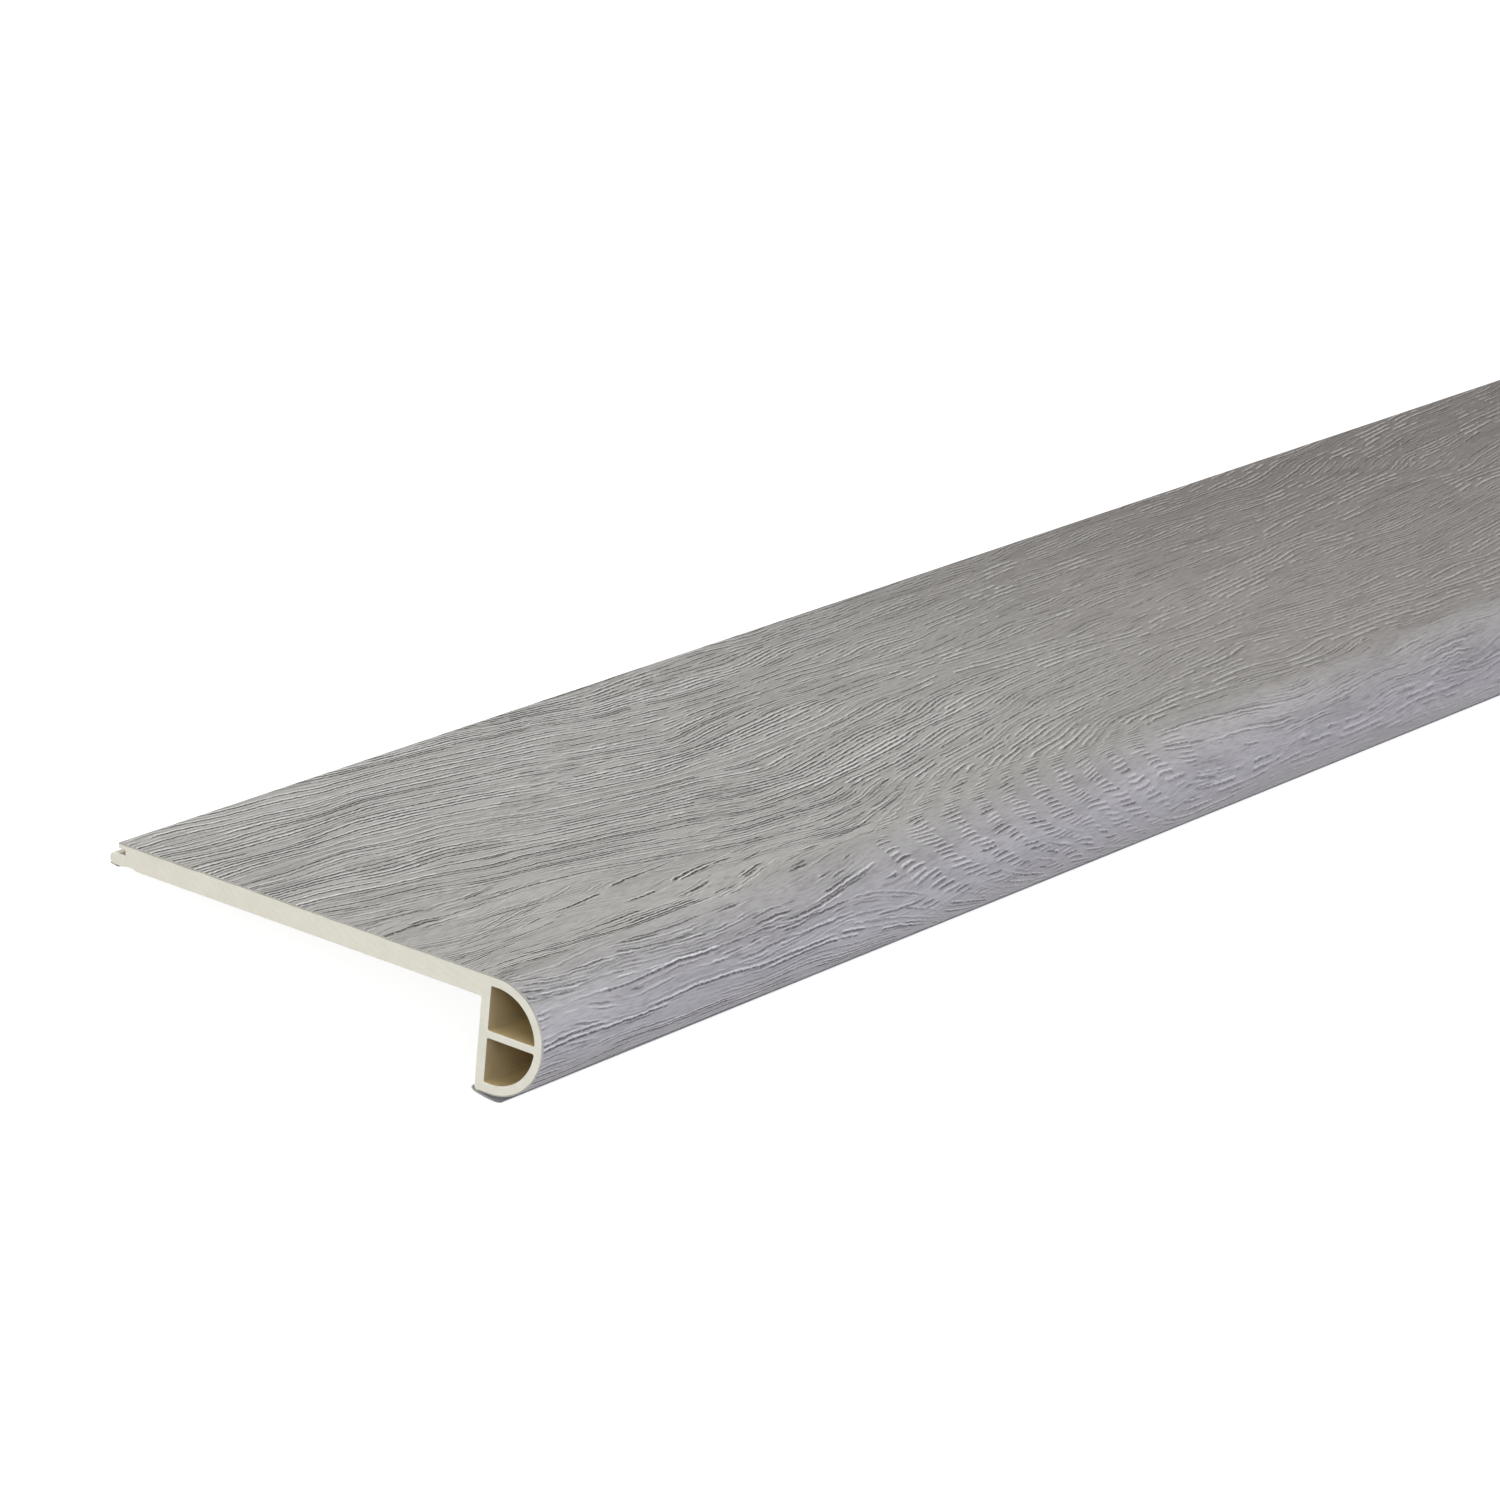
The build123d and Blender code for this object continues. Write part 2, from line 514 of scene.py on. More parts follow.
def growth_rings(along, girth):
    """Ring count of the board: it grows with the distance from the heart line, slowly near it and
    fast in the quarter-sawn part. Where the board bows, it follows a hyperbola of the distance
    instead. Each figure takes rings away along the length, so that the rings close round its tip.
    """
    offset = girth - np.interp(along, HEART_ALONG, HEART_GIRTH)
    bow = np.interp(along, HEART_ALONG, HEART_BOW)
    blunt = 7 * MM
    wide_ring = 8.5 * MM
    tight_ring = 2.4 * MM
    turn_over = 42 * MM
    soft = 6 * MM
    bend = 26 * MM
    front_pinch = 1.35
    distance = np.where(offset < 0, -offset, front_pinch * offset)
    level = (np.sqrt(distance**2 + blunt**2) - blunt) / wide_ring
    steeper = 1 / tight_ring - 1 / wide_ring
    level = level + steeper * soft * np.log1p(np.exp((distance - turn_over) / soft))
    bowed = (np.sqrt(offset**2 + bend**2) - bend) / tight_ring
    rings = level + bow * (bowed - level)
    reach = 105 * MM
    spread = 0.5 + 0.5 * np.cos(math.pi * np.minimum(np.abs(offset) / reach, 1))
    slow_start = 0.12
    quick_end = 0.06
    for start, tip, count, reopen in FIGURES:
        span = tip - start
        closed = soft_ramp((along - start) / span, slow_start)
        closed = closed - soft_ramp((along - tip) / span, quick_end)
        opened = 0.5 - 0.5 * np.cos(math.pi * np.clip((along - tip) / reopen, 0, 1))
        rings = rings - count * closed * (1 - opened) * spread
    return rings


# Heights on the film's bake map: top of the outside, both edges of the inside, and lower edges of the
# strips for the sawn ends and for the long edges
OUTSIDE_ROOM = 0.94
INSIDE_ROOM = (0.95, 0.97)
END_ROOM = (0.975, 0.982)
EDGE_ROOM = (0.988, 0.994)
STRIP_HEIGHT = 0.005


def grid_quads(block):
    """Four corners of every cell of a block of point numbers, or of map places."""
    corners = (block[:-1, :-1], block[1:, :-1], block[1:, 1:], block[:-1, 1:])
    return np.stack(corners, axis=2).reshape(-1, 4, *block.shape[2:])


def film_surface(sizes, look):
    """Film as a grid over length and girth, closed by a plain inner face, two sawn ends and two
    long edges.

    Returns the points, the faces, each point's place on the grain, its grain values, and a bake map
    of the face corners.
    """
    length = part_length()
    girth = film_girth(sizes)
    along_count = look.steps_along + 1
    round_count = look.steps_round + 1
    along = np.linspace(0, length, along_count)[:, None]
    round_by = np.linspace(0, girth, round_count)[None, :]
    warped = round_by + wander(along, round_by)
    rings = growth_rings(along, warped)
    along_slope, round_slope = np.gradient(rings, length / look.steps_along, girth / look.steps_round)
    pitch = np.hypot(along_slope, round_slope)
    no_pitch = 1e-6
    slant = np.abs(along_slope) / np.maximum(pitch, no_pitch)
    slant = slant * np.clip(np.abs(along_slope) * MM / LEAST_SLOPE - 1, 0, 1)
    signed = np.where(round_slope < 0, pitch, -pitch)
    across, up, out_across, out_up = film_path(sizes, round_by)

    # The saw leaves the film's edge ragged: the two end rows wander a little along the length
    chance = np.random.default_rng(RAGGED_SEED)
    knots = np.linspace(0, girth, round_count // RAGGED_STEPS)
    ragged = [np.interp(round_by[0], knots, chance.uniform(-1, 1, len(knots)) ** 3) for _ in range(2)]
    along = np.repeat(along, round_count, axis=1)
    along[0] += look.ragged_cut * ragged[0]
    along[-1] += look.ragged_cut * ragged[1]
    outer = to_row(sizes, along, across, up)
    thickness = sizes.film_thickness
    inner_along = along[[0, -1]]
    inner = to_row(sizes, inner_along, across - thickness * out_across, up - thickness * out_up)
    points = np.vstack((outer.reshape(-1, 3), inner.reshape(-1, 3)))

    number = np.arange(along_count * round_count).reshape(along_count, round_count)
    under = along_count * round_count + np.arange(2 * round_count).reshape(2, round_count)

    near_end = np.vstack((under[0], number[0]))
    far_end = np.vstack((number[-1], under[1]))
    blocks = (number, under[::-1], near_end, far_end)
    lip_edge = np.concatenate((number[::-1, 0], under[:, 0]))
    low_edge = np.concatenate((number[:, -1], under[::-1, -1]))
    faces = np.vstack([grid_quads(block) for block in blocks]).tolist()
    faces = faces + [lip_edge.tolist(), low_edge.tolist()]

    # Bake map: the outside takes nearly all of it, and thin strips above hold the rest
    lengthwise = np.linspace(0, 1, along_count)
    round_share = round_by[0] / girth
    outside = np.stack(np.meshgrid(lengthwise, OUTSIDE_ROOM * round_share, indexing="ij"), axis=-1)
    inside_height = np.interp(round_share, (0, 1), INSIDE_ROOM)
    inside = np.stack(np.meshgrid((1.0, 0.0), inside_height, indexing="ij"), axis=-1)
    ends = [
        np.stack(np.meshgrid(round_share, (low, low + STRIP_HEIGHT)), axis=-1) for low in END_ROOM
    ]
    maps = [grid_quads(block).reshape(-1, 2) for block in (outside, inside, *ends)]
    for edge, low in zip((lip_edge, low_edge), EDGE_ROOM):
        on_outside = edge < number.size
        run = np.where(on_outside, (edge // round_count) / look.steps_along, 0.0)
        run = np.where(on_outside, run, (edge - number.size) // round_count)
        maps.append(np.column_stack((run, np.where(on_outside, low, low + STRIP_HEIGHT))))

    plan = np.stack(np.broadcast_arrays(along, warped), axis=-1)
    plan = np.vstack((plan.reshape(-1, 2), plan[[0, -1]].reshape(-1, 2)))
    values = {"figure": rings, "slant": slant, "pitch": signed * MM, "rise_round": round_slope * MM}
    for name, grid in values.items():
        values[name] = np.concatenate((grid.ravel(), grid[[0, -1]].ravel()))
    return points, faces, plan, values, np.vstack(maps)


# Finishes


class Flow:
    """A number that flows through a node tree and can be reckoned with like a plain number."""

    def __init__(self, tree, socket):
        self.tree = tree
        self.socket = socket

    def __add__(self, other):
        return reckon(self.tree, "ADD", self, other)

    def __sub__(self, other):
        return reckon(self.tree, "SUBTRACT", self, other)

    def __rsub__(self, other):
        return reckon(self.tree, "SUBTRACT", other, self)

    def __mul__(self, other):
        return reckon(self.tree, "MULTIPLY", self, other)

    def __truediv__(self, other):
        return reckon(self.tree, "DIVIDE", self, other)

    def __rpow__(self, other):
        return reckon(self.tree, "POWER", other, self)

    def __abs__(self):
        return reckon(self.tree, "ABSOLUTE", self)

    __rmul__ = __mul__

    def floor(self):
        """Whole number at or below this number."""
        return reckon(self.tree, "FLOOR", self)

    def fraction(self):
        """What this number has above that whole number."""
        return reckon(self.tree, "FRACT", self)

    def at_least(self, other):
        """The larger of this number and another."""
        return reckon(self.tree, "MAXIMUM", self, other)

    def spread(self, width):
        """An even chance turned into a shift of up to half the width either way."""
        return (self - 0.5) * width

    def step(self, start, end, low=0.0, high=1.0):
        """Smooth step of this number from one level to another."""
        inputs = {"Value": self, "From Min": start, "From Max": end, "To Min": low, "To Max": high}
        node = put(self.tree, "ShaderNodeMapRange", inputs, interpolation_type="SMOOTHSTEP")
        return Flow(self.tree, node.outputs[0])


def set_inputs(tree, node, inputs):
    """Gives each named input of a node a value or a link."""
    for name, value in inputs.items():
        if isinstance(value, Flow):
            value = value.socket
        if isinstance(value, bpy.types.NodeSocket):
            tree.links.new(value, node.inputs[name])
        else:
            node.inputs[name].default_value = value


def put(tree, kind, inputs=None, **settings):
    """Adds a node with its settings and inputs."""
    node = tree.nodes.new(kind)
    for name, value in settings.items():
        setattr(node, name, value)
    set_inputs(tree, node, inputs or {})
    return node


def reckon(tree, operation, *values):
    """Number that a Math node makes of the values."""
    node = put(tree, "ShaderNodeMath", dict(enumerate(values)), operation=operation)
    return Flow(tree, node.outputs[0])


def parts_of(tree, place):
    """The three numbers of a place."""
    node = put(tree, "ShaderNodeSeparateXYZ", {0: place})
    return [Flow(tree, output) for output in node.outputs]


def pair_of(tree, first, second):
    """A flat place from two numbers."""
    return put(tree, "ShaderNodeCombineXYZ", {"X": first, "Y": second}).outputs[0]


def value_of(tree, name):
    """One of the values that the mesh carries."""
    return Flow(tree, put(tree, "ShaderNodeAttribute", attribute_name=name).outputs["Fac"])


def mix_of(tree, factor, first, second):
    """Mix of two colours. The node's colour sockets are its seventh and eighth."""
    inputs = {0: factor, 6: first, 7: second}
    return put(tree, "ShaderNodeMix", inputs, data_type="RGBA").outputs[2]


def stretched(tree, place, stretch):
    """A place multiplied by three factors."""
    inputs = {0: place, 1: stretch}
    return put(tree, "ShaderNodeVectorMath", inputs, operation="MULTIPLY").outputs[0]


def noise_of(tree, place, detail=3.0, roughness=0.5, dimensions="2D"):
    """Value of a noise texture at a place that is already in the noise's own scale."""
    inputs = {"Vector": place, "Scale": 1.0, "Detail": detail, "Roughness": roughness}
    node = put(tree, "ShaderNodeTexNoise", inputs, noise_dimensions=dimensions)
    return Flow(tree, node.outputs[0])


def bump_of(tree, height, depth):
    """Normal of a bump."""
    inputs = {"Height": height, "Distance": depth, "Strength": 1.0}
    return put(tree, "ShaderNodeBump", inputs).outputs[0]


def mottle_group():
    """Uneven tone: a stretched noise, spread to the whole range."""
    name = "Mottle"
    if name in bpy.data.node_groups:
        return bpy.data.node_groups[name]
    group = bpy.data.node_groups.new(name, "ShaderNodeTree")
    for socket in ("Place", "Stretch"):
        group.interface.new_socket(socket, in_out="INPUT", socket_type="NodeSocketVector")
    group.interface.new_socket("Tone", in_out="OUTPUT", socket_type="NodeSocketFloat")
    start = group.nodes.new("NodeGroupInput")
    end = group.nodes.new("NodeGroupOutput")
    place = stretched(group, start.outputs["Place"], start.outputs["Stretch"])
    tone = noise_of(group, place, roughness=0.55, dimensions="3D")
    set_inputs(group, end, {"Tone": tone.step(0.3, 0.7)})
    return group


def mottle_of(tree, place, stretch):
    """Tone of the mottle group at a stretched place."""
    inputs = {"Place": place, "Stretch": stretch}
    return Flow(tree, put(tree, "ShaderNodeGroup", inputs, node_tree=mottle_group()).outputs[0])


def start_material(name):
    """A material with an empty tree, its shader and its output."""
    material = bpy.data.materials.new(name)
    material.use_nodes = True
    tree = material.node_tree
    tree.nodes.clear()
    shader = put(tree, "ShaderNodeBsdfPrincipled")
    put(tree, "ShaderNodeOutputMaterial", {"Surface": shader.outputs[0]})
    return material, tree, shader


# Grooves, in millimetres: least gap between two that follow the rings, lanes of the short ones across
# a figure, lanes of the hairlines, and half a groove's width
LINE_GAP = 0.72
TICK_GAP = 1.15
HAIR_GAP = 0.85
MARK_WIDTH = 0.33
# Widths from the middle of a groove to the middle of the highlight painted on its lit side
PAINTED_HIGHLIGHT_PLACE = 1.6
# Keeps the noise of one lane clear of the next lane's
LANE_APART = 9.7
# Fewest rings in a millimetre that the grooves reckon with
LEAST_PITCH = 0.03
# Second numbers of the draws for a groove, its ring and a hairline
GROOVE_DRAW = 3.0
RING_DRAW = 5.0
HAIR_DRAW = 7.0
# Millimetres of unbroken grooves by the near end, and breaks for each millimetre there and after it
LONG_GROOVES = 100.0
LONG_BREAKS = 0.035
MORE_BREAKS = 0.09
# Depth from a cut face, in millimetres, over which the grooves come in
CUT_CLEAR = (0.15, 0.45)

# Ramps of the finish: from, to, value before and value after. Two are by the grit, the others by
# millimetres along the length or round the girth, where the nose begins at about 100
GRIT_ON_LINES = (0.3, 0.55, 0.55, 1)
GRIT_ON_SHORT = (0.3, 0.55, 0.6, 1)
SPARSER_ALONG = (120, 280, 0, 0.06)
SPARSER_ROUND = (88, 104, 0, 0.05)
COARSER_ALONG = (120, 280, 0, 1)
COARSER_ROUND = (76, 98, 0.3, 0.8)
FAINTER_ALONG = (110, 330, 1, 0.5)
BOLDER_AGAIN = (640, 900, 0.5, 0.9)
FAINTER_ROUND = (96, 108, 1, 0.85)
BROWNER_ALONG = (90, 460, 0, 0.8)
GREYER_AGAIN = (760, 1150, 1, 0.2)
GREYER_ROUND = (96, 108, 1, 0.3)
DARKER_BACK = (0, 60, 1, 0)
DARKER_ALONG = (110, 400, 0, 0.2)
# These three paint shade on the top of the nose's round, less of it further along
SHOULDER_PAINTED_SHADE_START = (97, 105, 0, 1)
SHOULDER_PAINTED_SHADE_END = (110, 117, 1, 0)
SHOULDER_PAINTED_SHADE_ALONG = (190, 260, 0.17, 0.08)
# Painted shade towards the underside of the nose
UNDER_PAINTED_SHADE = (120, 128, 0, 0.1)


def pressed_mark(beside, side, strength):
    """A dark groove, partly printed pores and partly painted shade, and the highlight painted on its lit
    side, from the millimetres beside the groove's middle.
    """
    width = (0.5 * strength + 0.6) * MARK_WIDTH
    groove = (abs(beside) / width).step(0.4, 1.1, 1.0, 0.0)
    # edge is the highlight painted on the groove's lit side
    edge = (abs(beside - side * width * PAINTED_HIGHLIGHT_PLACE) / width).step(0.5, 1.3, 1.0, 0.0)
    return groove * strength, edge * strength


def chances_of(tree, first, second):
    """Three even chances for a pair of numbers."""
    names = pair_of(tree, first, second)
    chance = put(tree, "ShaderNodeTexWhiteNoise", {"Vector": names}, noise_dimensions="2D")
    parts = put(tree, "ShaderNodeSeparateColor", {0: chance.outputs["Color"]})
    return [Flow(tree, output) for output in parts.outputs]


def groove_lines(rings, tight, side, run, sparse, coarse, grit):
    """Grooves that run with the rings, each one with a highlight painted on the lip's side.

    Each ring is halved as often as leaves the grooves at least LINE_GAP times coarse apart, and the
    grooves of the last halving come in slowly. A groove has its own strength, fades along its run, is
    roughened by the grit, and is kept if it lies in the early part of its ring.
    """
    tree = rings.tree
    room = reckon(tree, "LOGARITHM", tight * (coarse * LINE_GAP), 0.5)
    halvings = room.floor().at_least(0.0)
    lanes = 2.0**halvings
    lane_place = rings * lanes
    lane = reckon(tree, "ROUND", lane_place)
    groove_ring = lane / lanes
    newest = 2.0 * (0.5 * lane).fraction()
    coming = (room - halvings).step(0.0, 0.4, 1.0, 0.0)

    chances = chances_of(tree, groove_ring, GROOVE_DRAW)
    ring_chance = chances_of(tree, groove_ring.floor(), RING_DRAW)[0]
    band_end = tight.step(0.12, 0.36, 0.6, 1.1) + ring_chance.spread(0.4)
    swell = noise_of(tree, pair_of(tree, run, groove_ring * LANE_APART)) - sparse
    strength = (1.0 - newest * coming) * swell.step(0.31, 0.47)
    strength = strength * (groove_ring.fraction() - band_end).step(-0.1, 0.1, 1.0, 0.0)
    strength = strength * chances[1].step(0.1, 0.6, 0.5, 1.0) * grit.step(*GRIT_ON_LINES)

    beside = (lane_place - lane) / lanes / tight + chances[0].spread(0.44)
    beside = beside + (grit - 0.5) * (0.4 * coarse - 0.25)
    return pressed_mark(beside / (0.5 * coarse + 0.5), side, strength)


def girth_lanes(girth, gap):
    """Number of the lane at a girth, and the millimetres beside the lane's middle."""
    lane_place = girth / gap
    return lane_place.floor(), lane_place.fraction().spread(gap)


def hair_lines(along, girth, place, grit):
    """Bundles of hairlines along the length: one in each lane of the girth, broken up along it."""
    tree = along.tree
    lane, beside = girth_lanes(girth, HAIR_GAP)
    chances = chances_of(tree, lane, HAIR_DRAW)
    kept = noise_of(tree, pair_of(tree, 0.06 * along, lane * LANE_APART))
    bundle = noise_of(tree, stretched(tree, place, (0.03, 0.28, 1.0)))
    strength = kept.step(0.38, 0.5) * bundle.step(0.46, 0.54)
    strength = strength * chances[1].step(0.1, 0.9, 0.4, 1.0) * grit.step(*GRIT_ON_SHORT)
    return pressed_mark(beside + chances[0].spread(0.3), -1.0, strength)


def tick_stacks(girth, rings, rise_round, grit):
    """Stacks of short grooves along the length: one in each lane of the girth for each ring.

    The ring is taken at the lane's middle, so that a groove starts and ends square to its lane.
    """
    lane, beside = girth_lanes(girth, TICK_GAP)
    at_middle = rings - beside * rise_round
    chances = chances_of(rings.tree, lane, at_middle.floor())
    phase = at_middle.fraction()
    strength = (phase - 0.24 * chances[0]).step(0.0, 0.1)
    strength = strength * (phase - 0.34 * chances[1]).step(0.36, 0.58, 1.0, 0.0)
    strength = strength * (0.5 * chances[2] + 0.5) * grit.step(*GRIT_ON_SHORT)
    beside = beside + chances[2].spread(0.4) + grit.spread(0.36)
    return pressed_mark(beside, -1.0, strength)


def film_finish(look):
    """Grey oak print: tone by rings and streaks, pores pressed in along the grain, a painted highlight
    beside each groove and painted shade on the nose.
    """
    material, tree, shader = start_material("oak_film")
    plan = put(tree, "ShaderNodeUVMap", uv_map="GrainMap").outputs[0]
    place = stretched(tree, plan, (1 / MM, 1 / MM, 1 / MM))
    along, girth, _ = parts_of(tree, place)
    figure = value_of(tree, "figure")
    slant = value_of(tree, "slant")
    pitch = value_of(tree, "pitch")
    tight = abs(pitch).at_least(LEAST_PITCH)

    # The rings waver a little more than the mesh can show
    waver = noise_of(tree, stretched(tree, place, (0.09, 0.1, 1.0)), detail=1.0)
    shiver = noise_of(tree, stretched(tree, place, (0.35, 0.35, 1.0)))
    wobble = 0.5 * waver + (0.6 * shiver - 0.55)
    rings = wobble * tight + figure
    phase = rings.fraction()
    straight = slant.step(0.24, 0.44, 1.0, 0.0)

    # Grooves with the rings. They are long by the near end and break up further on
    run = MORE_BREAKS * (along - LONG_GROOVES).at_least(0.0) + LONG_BREAKS * along
    sparse = along.step(*SPARSER_ALONG) + girth.step(*SPARSER_ROUND)
    coarse = along.step(*COARSER_ALONG) * girth.step(*COARSER_ROUND) + 1.0
    grit = noise_of(tree, stretched(tree, place, (1.0, 1.4, 1.0)), detail=2.0)
    side = reckon(tree, "SIGN", pitch)
    line, line_painted_highlight = groove_lines(rings, tight, side, run, sparse, coarse, grit)

    # Hairlines where the rings lie wide apart
    bend = noise_of(tree, stretched(tree, place, (0.011, 0.02, 1.0)), detail=1.0)
    hair, hair_painted_highlight = hair_lines(along, girth + (9.0 * bend + wobble), place, grit)

    # Across the figures the grooves break up into stacks of short pores in the early part of the ring
    early = phase.step(0.0, 0.08) * phase.step(0.42, 0.64, 1.0, 0.0)
    tick, tick_painted_highlight = tick_stacks(1.5 * waver + girth, figure, value_of(tree, "rise_round"), grit)
    marks = (
        (line, line_painted_highlight, straight * tight.step(0.07, 0.19)),
        (hair, hair_painted_highlight, straight * tight.step(0.14, 0.3, 1.0, 0.0)),
        (tick, tick_painted_highlight, slant.step(0.2, 0.4)),
    )
    # edge gathers the painted highlights, groove the dark that is partly printed pores and partly painted
    # shade
    groove = 0.0
    edge = 0.0
    for dark, light, part_share in marks:
        groove = (dark * part_share).at_least(groove)
        edge = (light * part_share).at_least(edge)

    # They are fainter in the middle and on the nose, and the cut faces stay plain
    length = part_length() / MM
    clear, full = CUT_CLEAR
    faded = along.step(*FAINTER_ALONG).at_least(along.step(*BOLDER_AGAIN)) * girth.step(*FAINTER_ROUND)
    faded = faded * along.step(clear, full) * along.step(length - full, length - clear, 1.0, 0.0)
    groove = groove * faded
    edge = edge * faded

    # Tone of the print: broad streaks, browner stretches, a back strip that darkens further along, dark
    # smudges and a faint fibre, with painted shade on the top of the nose's round and towards its
    # underside
    broad = mottle_of(tree, place, (0.012, 0.05, 1.0))
    smudge = mottle_of(tree, place, (0.032, 0.24, 1.0))
    fibre = mottle_of(tree, place, (0.25, 2.2, 1.0))
    drift = along.step(*BROWNER_ALONG) * along.step(*GREYER_AGAIN) * girth.step(*GREYER_ROUND)
    back = girth.step(*DARKER_BACK) * along.step(*DARKER_ALONG)
    # Painted shade on the top of the nose's round
    shoulder_painted_shade = girth.step(*SHOULDER_PAINTED_SHADE_START) * girth.step(*SHOULDER_PAINTED_SHADE_END) * along.step(*SHOULDER_PAINTED_SHADE_ALONG)
    layers = (
        (0.4 * broad, look.deep),
        (0.12 * early, look.deep),
        (drift, look.brown),
        (back, look.pore_and_painted_shade),
        # Painted shade on the top of the nose's round and towards its underside
        (shoulder_painted_shade + girth.step(*UNDER_PAINTED_SHADE), look.pore_and_painted_shade),
        (smudge.step(0.5, 1.0, 0.0, 0.14), look.pore_and_painted_shade),
        (fibre.step(0.3, 1.0, 0.0, 0.2), look.pore_and_painted_shade),
        # Painted highlight along the lit side of each groove, then the groove's dark, partly printed
        # pores and partly painted shade
        (0.85 * edge, look.painted_highlight),
        (0.95 * groove, look.pore_and_painted_shade),
    )
    tone = look.pale
    for amount, tint in layers:
        tone = mix_of(tree, amount, tone, tint)
    finish = {
        "Base Color": tone,
        "Roughness": groove.step(0.0, 1.0, 0.5, 0.68),
        "Normal": bump_of(tree, 0.3 * edge - 0.12 * fibre - groove, look.pore_depth),
        "Specular IOR Level": 0.3,
    }
    set_inputs(tree, shader, finish)
    return material


# Depth of the core's fine marks, where the saw's rings are centred, and the share of dust that shows
MARK_DEPTH = 0.02 * MM
SAW_SHIFT = (0.0, 0.04, -0.14)
RARE_DUST = 0.025


def core_finish(name, base, dark, specks):
    """Cream vinyl: uneven tone, faint die lines along the length and, on cut faces, saw marks."""
    material, tree, shader = start_material(name)
    place = put(tree, "ShaderNodeTexCoord").outputs["Object"]
    broad = mottle_of(tree, place, (60.0, 160.0, 160.0))
    close = mottle_of(tree, place, (9.0, 900.0, 900.0))
    shade = tuple(0.86 * value for value in base[:3]) + (1.0,)
    tone = mix_of(tree, 0.3 * broad, base, shade)
    tone = mix_of(tree, 0.2 * close, tone, shade)
    height = close
    if specks:
        saw = put(tree, "ShaderNodeMapping", {"Vector": place, "Location": SAW_SHIFT}).outputs[0]
        rings = {"Vector": saw, "Scale": 210.0, "Distortion": 1.5, "Detail": 2.0, "Detail Scale": 0.4}
        wave = put(tree, "ShaderNodeTexWave", rings, wave_type="RINGS", rings_direction="X")
        marks = Flow(tree, wave.outputs["Fac"])
        height = 0.7 * marks + close
        dust = put(tree, "ShaderNodeTexVoronoi", {"Vector": place, "Scale": 260.0}).outputs
        rare = put(tree, "ShaderNodeSeparateColor", {0: dust["Color"]}).outputs[0]
        rare = reckon(tree, "GREATER_THAN", rare, 1.0 - RARE_DUST)
        dot = rare * Flow(tree, dust["Distance"]).step(0.05, 0.11, 1.0, 0.0)
        tone = mix_of(tree, 0.12 * marks, tone, shade)
        tone = mix_of(tree, 0.8 * dot, tone, dark)
    finish = {
        "Base Color": tone,
        "Roughness": broad.step(0.0, 1.0, 0.46, 0.58),
        "Normal": bump_of(tree, height, MARK_DEPTH),
        "Specular IOR Level": 0.4,
    }
    set_inputs(tree, shader, finish)
    return material


# Operators


class NOSING_OT_core(Operator):
    """Builds the hollow vinyl core with its sawn ends and click edge"""

    bl_idname = "nosing.core"
    bl_label = "Vinyl core"

    def execute(self, context):
        sizes = context.scene.nosing_section
        look = context.scene.nosing_core
        points, faces, part_of, bake_map = core_surface(sizes)
        piece = make_piece("vinyl_core", points, faces, "core_profile")
        add_map(piece.data, "OFBake", bake_map)
        skin = core_finish("extruded_skin", look.skin, look.speck, False)
        sawn = core_finish("sawn_face", look.sawn, look.speck, True)
        # The chambers take the painted shade colour
        inside = core_finish("chamber_skin", look.inside, look.speck, False)
        for material in (skin, sawn, inside):
            piece.data.materials.append(material)
        # The first and last strip of each profile are the small bevels, and look sawn too
        cut = (part_of < 0) | (part_of % 3 != 1)
        index = np.where(cut, 1, np.where(part_of >= 3, 2, 0)).astype(np.int32)
        piece.data.polygons.foreach_set("material_index", index)
        return {"FINISHED"}


class NOSING_OT_film(Operator):
    """Builds the decor film with its wood grain"""

    bl_idname = "nosing.film"
    bl_label = "Decor film"

    def execute(self, context):
        sizes = context.scene.nosing_section
        look = context.scene.nosing_film
        points, faces, plan, values, bake_map = film_surface(sizes, look)
        piece = make_piece("oak_film", points, faces, "decor_film")
        mesh = piece.data
        corners = corner_points(mesh)
        add_map(mesh, "GrainMap", plan[corners])
        add_map(mesh, "OFBake", bake_map)
        for name, value in values.items():
            add_values(mesh, name, value)
        mesh.materials.append(film_finish(look))
        return {"FINISHED"}


class NOSING_OT_stage(Operator):
    """Builds the pale floor, the soft lamps and the camera"""

    bl_idname = "nosing.stage"
    bl_label = "Studio"

    def execute(self, context):
        look = context.scene.nosing_stage
        scene = context.scene
        make_floor(scene, look)
        make_light(scene, look)
        make_camera(scene)
        scene.view_settings.view_transform = "Standard"
        return {"FINISHED"}


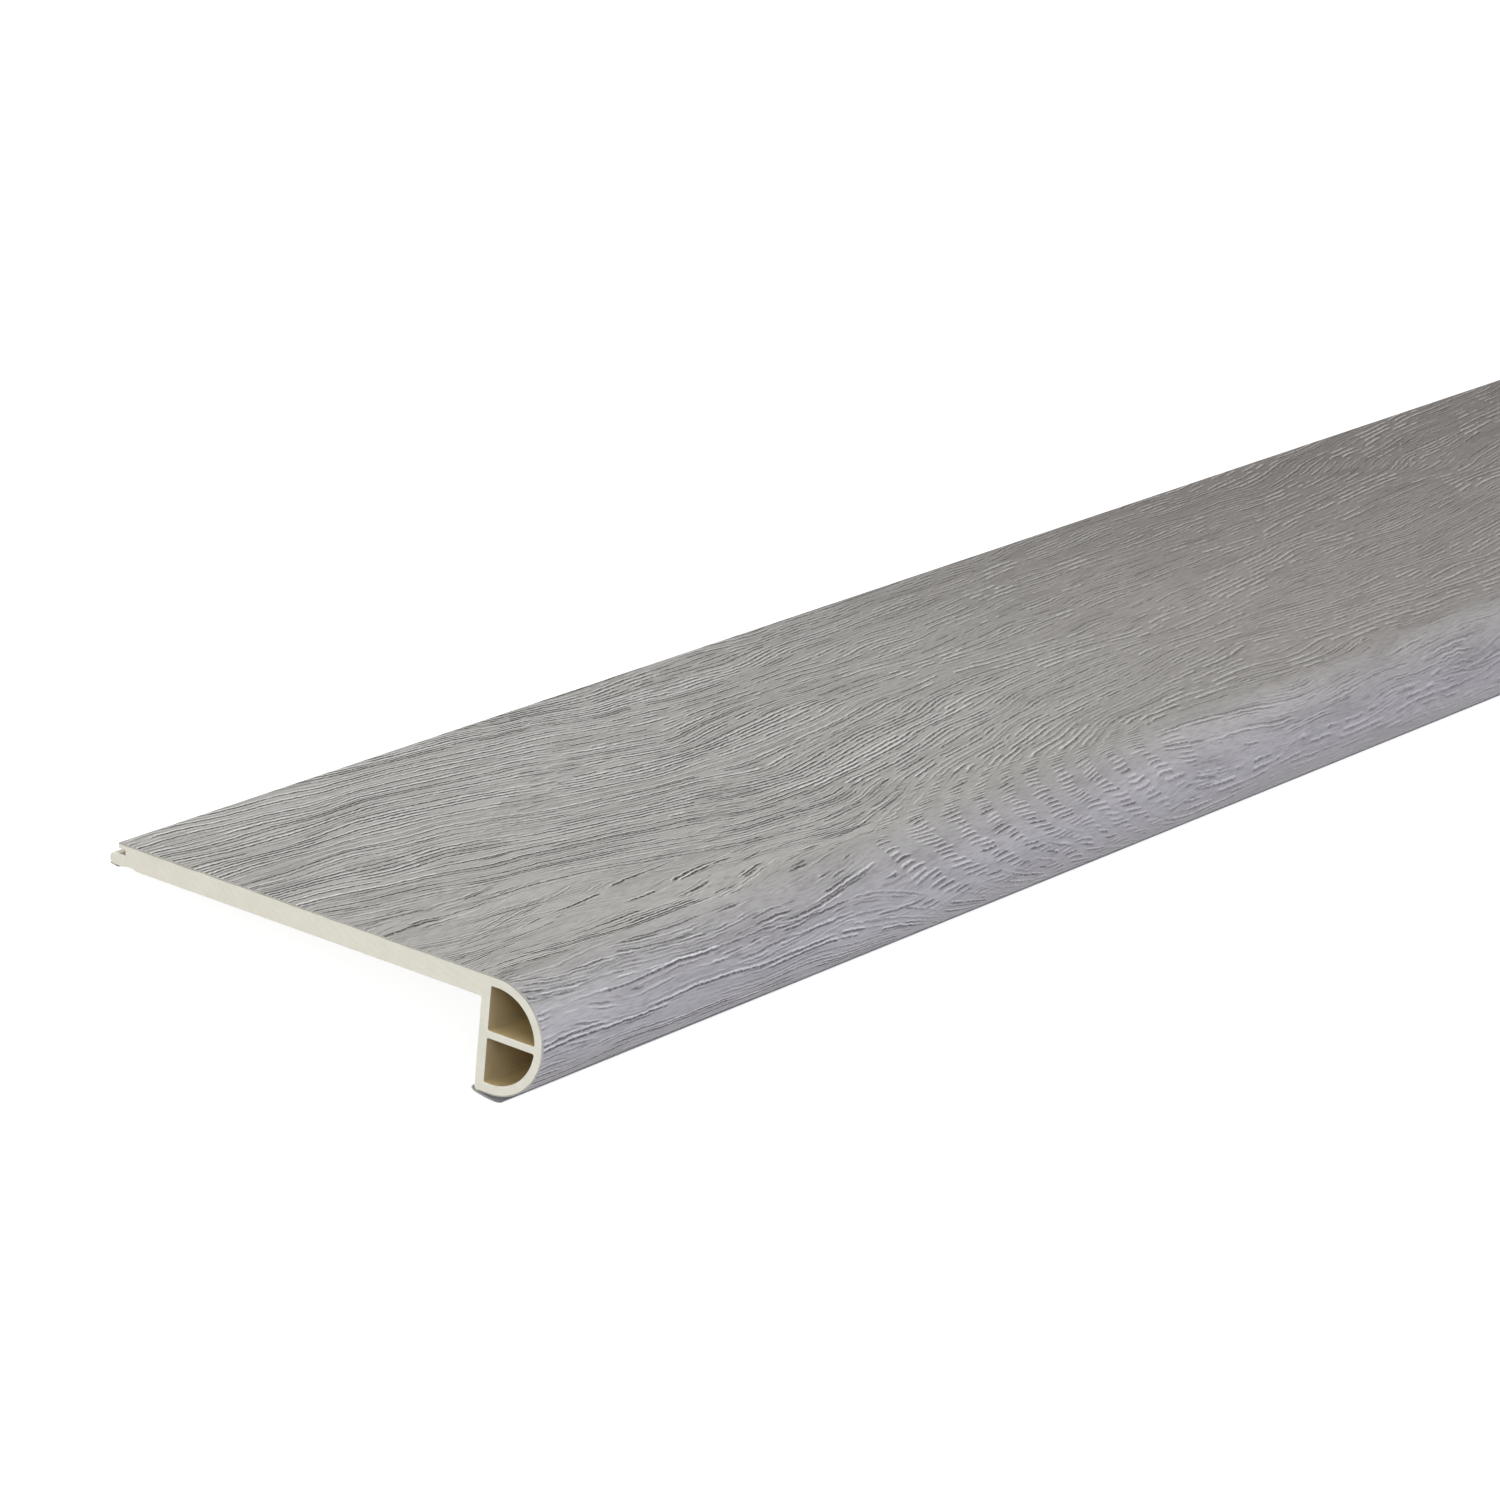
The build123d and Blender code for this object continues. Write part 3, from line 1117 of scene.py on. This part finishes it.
def make_floor(scene, look):
    """A level square under the length, white to the camera and plain pale to the light."""
    half = 9.0
    mesh = bpy.data.meshes.new("floor")
    corners = [(-half, -half, 0), (half, -half, 0), (half, half, 0), (-half, half, 0)]
    mesh.from_pydata(corners, [], [(0, 1, 2, 3)])
    floor = bpy.data.objects.new("floor", mesh)
    scene.collection.objects.link(floor)
    material, tree, shader = start_material("studio_floor")
    path = put(tree, "ShaderNodeLightPath").outputs
    seen = Flow(tree, path["Is Camera Ray"])
    for ray in ("Is Glossy Ray", "Is Transmission Ray"):
        seen = seen.at_least(path[ray])

    # White isn't added close to the part, so that a thin contact line stays
    place = put(tree, "ShaderNodeTexCoord").outputs["Object"]
    _, depth, _ = parts_of(tree, place)
    reach = depth.step(-0.02, 0.0, look.nose_reach, look.back_reach)
    near = put(tree, "ShaderNodeAmbientOcclusion", {"Distance": reach}, samples=24)
    open_air = Flow(tree, near.outputs["AO"]).step(0.78, 0.88)
    finish = {
        "Base Color": look.floor_colour,
        "Roughness": 0.9,
        "Specular IOR Level": 0.1,
        "Emission Color": (1, 1, 1, 1),
        "Emission Strength": seen * look.floor_lift * open_air,
    }
    set_inputs(tree, shader, finish)
    mesh.materials.append(material)


# Soft lamps: place, point that the lamp is turned to, width, height, and spread in degrees
LAMPS = {
    "key": ((-1.8, -1.05, 1.05), (-0.5, 0, 0), 1.1, 1.1, 180),
    "front": ((-0.2, -1.8, 0.8), (-0.2, 0, 0), 2, 0.8, 180),
    "top": ((-0.75, 0.55, 1.7), (-0.45, 0, 0), 1.3, 1.3, 180),
    "end": ((-2.1, 0.15, 0.45), (-0.6, 0, 0), 1, 0.7, 180),
    "far": ((1.2, -0.1, 1.1), (0.65, 0, 0), 0.9, 0.9, 50),
}


def make_light(scene, look):
    """Soft lamps before the near corner, the nose and both ends, one above, and a faint sky."""
    for name, (place, aim, width, height, spread) in LAMPS.items():
        light = bpy.data.lights.new(name, "AREA")
        light.shape = "RECTANGLE"
        light.size = width
        light.size_y = height
        light.spread = math.radians(spread)
        light.energy = getattr(look, f"{name}_power")
        light.color = getattr(look, f"{name}_colour")[:3]
        lamp = bpy.data.objects.new(name, light)
        lamp.location = place
        lamp.rotation_mode = "QUATERNION"
        lamp.rotation_quaternion = (Vector(aim) - Vector(place)).to_track_quat("-Z", "Y")
        scene.collection.objects.link(lamp)
    world = bpy.data.worlds.new("studio_sky")
    world.use_nodes = True
    sky = world.node_tree.nodes["Background"]
    set_inputs(world.node_tree, sky, {"Color": (1, 1, 1, 1), "Strength": look.sky_level})
    scene.world = world


def make_camera(scene):
    """Camera before the near end, looking down along the nose, with the horizon leaning."""
    camera = bpy.data.cameras.new("camera")
    camera.sensor_width = 36.0
    camera.lens = 159.76
    camera.clip_start = 0.01
    camera.clip_end = 50.0
    eye = bpy.data.objects.new("camera", camera)
    place = Vector((-1.58753, -0.67249, 0.63782))
    aim = Vector((-0.44808, 0.00650, 0.01516))
    lean = Quaternion((0, 0, 1), math.radians(15.772))
    eye.location = place
    eye.rotation_mode = "QUATERNION"
    eye.rotation_quaternion = (aim - place).to_track_quat("-Z", "Y") @ lean
    scene.collection.objects.link(eye)
    scene.camera = eye


class NOSING_PT_panel(Panel):
    """Sizes, colours and pieces of the nosing"""

    bl_idname = "NOSING_PT_panel"
    bl_label = "Stair nosing"
    bl_space_type = "VIEW_3D"
    bl_region_type = "UI"
    bl_category = "Nosing"

    def draw(self, context):
        layout = self.layout
        for operator in (NOSING_OT_core, NOSING_OT_film, NOSING_OT_stage):
            layout.operator(operator.bl_idname)
        for group in PROPERTY_GROUPS:
            box = layout.box()
            box.label(text=group.__doc__)
            owner = getattr(context.scene, PROPERTY_GROUPS[group])
            for name in group.__annotations__:
                box.prop(owner, name)


PROPERTY_GROUPS = {
    NosingSection: "nosing_section",
    NosingFilm: "nosing_film",
    NosingCore: "nosing_core",
    NosingStage: "nosing_stage",
}
CLASSES = (*PROPERTY_GROUPS, NOSING_OT_core, NOSING_OT_film, NOSING_OT_stage, NOSING_PT_panel)


def register():
    """Registers the classes and hangs the properties on the scene."""
    for made in CLASSES:
        bpy.utils.register_class(made)
    for group, name in PROPERTY_GROUPS.items():
        setattr(bpy.types.Scene, name, PointerProperty(type=group))


def unregister():
    """Takes the properties and classes away again."""
    for name in PROPERTY_GROUPS.values():
        delattr(bpy.types.Scene, name)
    for made in reversed(CLASSES):
        bpy.utils.unregister_class(made)


def main():
    """Registers the add-on, and builds the pieces and the studio."""
    register()
    bpy.ops.nosing.core()
    bpy.ops.nosing.film()
    bpy.ops.nosing.stage()


if __name__ == "__main__":
    main()
